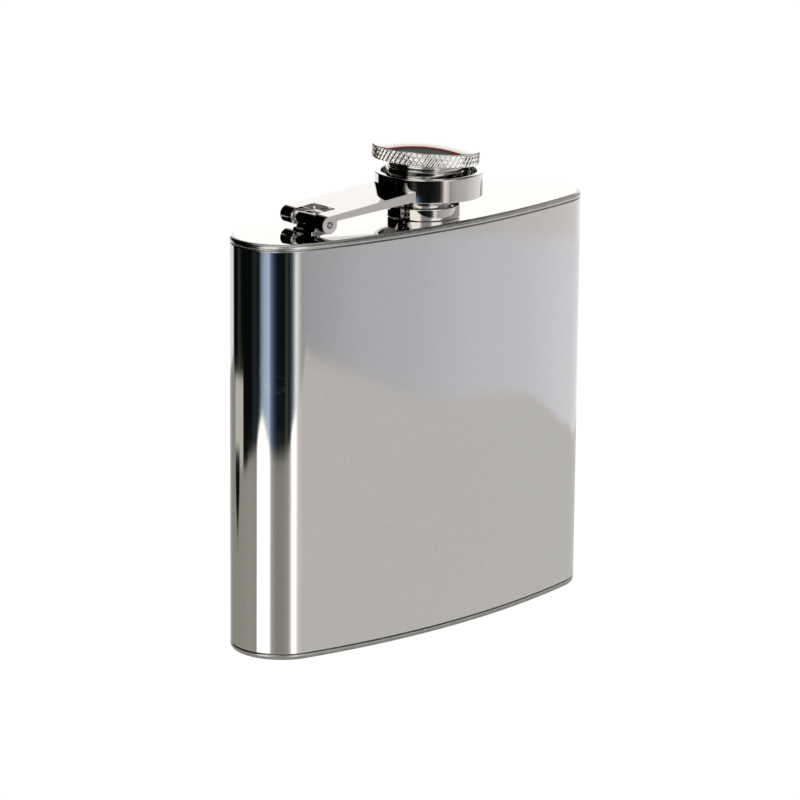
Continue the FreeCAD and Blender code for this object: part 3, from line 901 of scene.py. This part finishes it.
# the room: a large shell seen only in reflections
DOWN = [(-180, lum(1.1)), (-110, lum(1.1)), (-97, (1.05, 1.03, 1.03)), (-81, (0.95, 0.93, 0.94)), (-58, (0.78, 0.76, 0.76)),
        (-40, (0.62, 0.60, 0.59)), (-24, (0.58, 0.56, 0.55)), (-10, (0.50, 0.48, 0.47)), (-3, (0.42, 0.40, 0.38)),
        (3, (0.82, 0.78, 0.74)), (9, (0.95, 0.92, 0.88)), (15, (0.20, 0.17, 0.16)), (20, (0.02, 0.02, 0.02)),
        (40, (0.006, 0.008, 0.008)), (66, (0.008, 0.008, 0.008)), (74, (0.05, 0.05, 0.045)), (80, (0.012, 0.014, 0.012)),
        (88, BLACK), (150, (0.003, 0.003, 0.002)), (174, BLACK), (180, lum(1.1))]
UP = [(-180, BLACK), (-160, BLACK), (-154, lum(1.3)), (-134, lum(1.3)), (-122, (0.60, 0.58, 0.57)), (-80, (0.52, 0.51, 0.51)),
      (-57, (0.44, 0.43, 0.43)), (-39, (0.25, 0.25, 0.245)), (-21, (0.21, 0.215, 0.21)), (-15, (0.9, 0.9, 0.88)),
      (-8, lum(1.5)), (15, lum(1.5)), (21, (0.50, 0.51, 0.50)), (31, (0.36, 0.37, 0.37)), (43, (0.36, 0.37, 0.37)),
      (52, (0.60, 0.61, 0.61)), (57, lum(1.6)), (86, (1.6, 1.55, 1.45)), (92, (0.20, 0.20, 0.19)), (100, BLACK), (180, BLACK)]
fm3, nt, em = emission("room_reflection")
geo = nt.nodes.new("ShaderNodeNewGeometry")
down_c, rel, _ = azimuth_ramp(nt, geo.outputs["Position"], (0.0, 0.0), DOWN)
up_c, rel, az01 = azimuth_ramp(nt, geo.outputs["Position"], (0.0, 0.0), UP)
nz = nt.nodes.new("ShaderNodeVectorMath")
nz.operation = "NORMALIZE"
nt.links.new(geo.outputs["Position"], nz.inputs[0])
sz = nt.nodes.new("ShaderNodeSeparateXYZ")
nt.links.new(nz.outputs[0], sz.inputs[0])
asn = nt.nodes.new("ShaderNodeMath")
asn.operation = "ARCSINE"
nt.links.new(sz.outputs[2], asn.inputs[0])


def step(src, a, b):
    m = nt.nodes.new("ShaderNodeMapRange")
    m.inputs[1].default_value = a
    m.inputs[2].default_value = b
    nt.links.new(src, m.inputs[0])
    return m.outputs[0]


def blend(fac, a, b, mode="MIX"):
    m = nt.nodes.new("ShaderNodeMix")
    m.data_type = "RGBA"
    m.blend_type = mode
    for i, v in ((0, fac), (6, a), (7, b)):
        if isinstance(v, (int, float)):
            m.inputs[i].default_value = v
        elif isinstance(v, tuple):
            m.inputs[i].default_value = (*v, 1)
        else:
            nt.links.new(v, m.inputs[i])
    return m.outputs[2]


el01 = step(asn.outputs[0], 0.0, math.pi / 2)
# behind the flask: white wall, a red rail, then a dark ceiling with a pale line across it
sky = nt.nodes.new("ShaderNodeValToRGB")
els = sky.color_ramp.elements
sky_stops = [(0, (1.3, 1.3, 1.3)), (20, (1.3, 1.29, 1.27)), (27.4, (0.95, 0.92, 0.86)), (27.9, (0.42, 0.012, 0.02)), (29.6, (0.30, 0.006, 0.012)),
             (30.2, (0.05, 0.055, 0.05)), (36, (0.12, 0.13, 0.12)), (41, (0.045, 0.05, 0.045)), (43.5, (0.02, 0.02, 0.02)),
             (44.5, (0.9, 0.9, 0.88)), (46.5, (0.8, 0.8, 0.8)), (48, (0.03, 0.03, 0.03)), (70, (0.06, 0.06, 0.06)), (90, (0.20, 0.20, 0.20))]
while len(els) > 1:
    els.remove(els[-1])
els[0].position, els[0].color = 0.0, (1.3, 1.3, 1.3, 1)
for a, c in sky_stops[1:]:
    e = els.new(a / 90.0)
    e.color = (*c, 1)
nt.links.new(el01, sky.inputs[0])
# everywhere else the walls fall off towards the ceiling, except a tall soft box to the left
fall = nt.nodes.new("ShaderNodeValToRGB")
els = fall.color_ramp.elements
while len(els) > 1:
    els.remove(els[-1])
els[0].position, els[0].color = 0.0, (1, 1, 1, 1)
for a, c in [(31, 1.0), (40, 0.62), (46, 0.10), (62, 0.06), (90, 0.05)]:
    e = els.new(a / 90.0)
    e.color = (c, c, c, 1)
nt.links.new(el01, fall.inputs[0])
side_c = blend(1.0, up_c, fall.outputs[0], "MULTIPLY")
# the soft box to the left keeps its light up to 75 degrees
b1 = step(az01, (180 + 50) / 360.0, (180 + 58) / 360.0)
b2 = step(az01, (180 + 95) / 360.0, (180 + 88) / 360.0)
bx = nt.nodes.new("ShaderNodeMath")
bx.operation = "MULTIPLY"
nt.links.new(b1, bx.inputs[0])
nt.links.new(b2, bx.inputs[1])
bt = nt.nodes.new("ShaderNodeMath")
bt.operation = "MULTIPLY"
nt.links.new(bx.outputs[0], bt.inputs[0])
nt.links.new(step(asn.outputs[0], math.radians(78), math.radians(70)), bt.inputs[1])
side_c = blend(bt.outputs[0], side_c, (1.5, 1.46, 1.38))
# azimuth window of the white wall: -154 .. -108 in the same measure, i.e. straight behind
w1 = step(az01, (180 - 162) / 360.0, (180 - 155) / 360.0)
w2 = step(az01, (180 - 105) / 360.0, (180 - 118) / 360.0)
wm = nt.nodes.new("ShaderNodeMath")
wm.operation = "MULTIPLY"
nt.links.new(w1, wm.inputs[0])
nt.links.new(w2, wm.inputs[1])
upper = blend(wm.outputs[0], side_c, sky.outputs[0])
# a broad pale panel overhead, above everything that the shoulder and the dome mirror towards the front
upper = blend(step(asn.outputs[0], math.radians(53), math.radians(63)), upper, (0.72, 0.715, 0.70))
col = blend(step(asn.outputs[0], math.radians(-2.0), math.radians(3.0)), down_c, upper)
nt.links.new(col, em.inputs[0])
em.inputs[1].default_value = 1.0
bm = bmesh.new()
bmesh.ops.create_uvsphere(bm, u_segments=96, v_segments=48, radius=3.0)
me = bpy.data.meshes.new("room")
bm.to_mesh(me)
bm.free()
me.materials.append(fm3)
room = bpy.data.objects.new("room", me)
COLL.objects.link(room)
only_reflections(room)
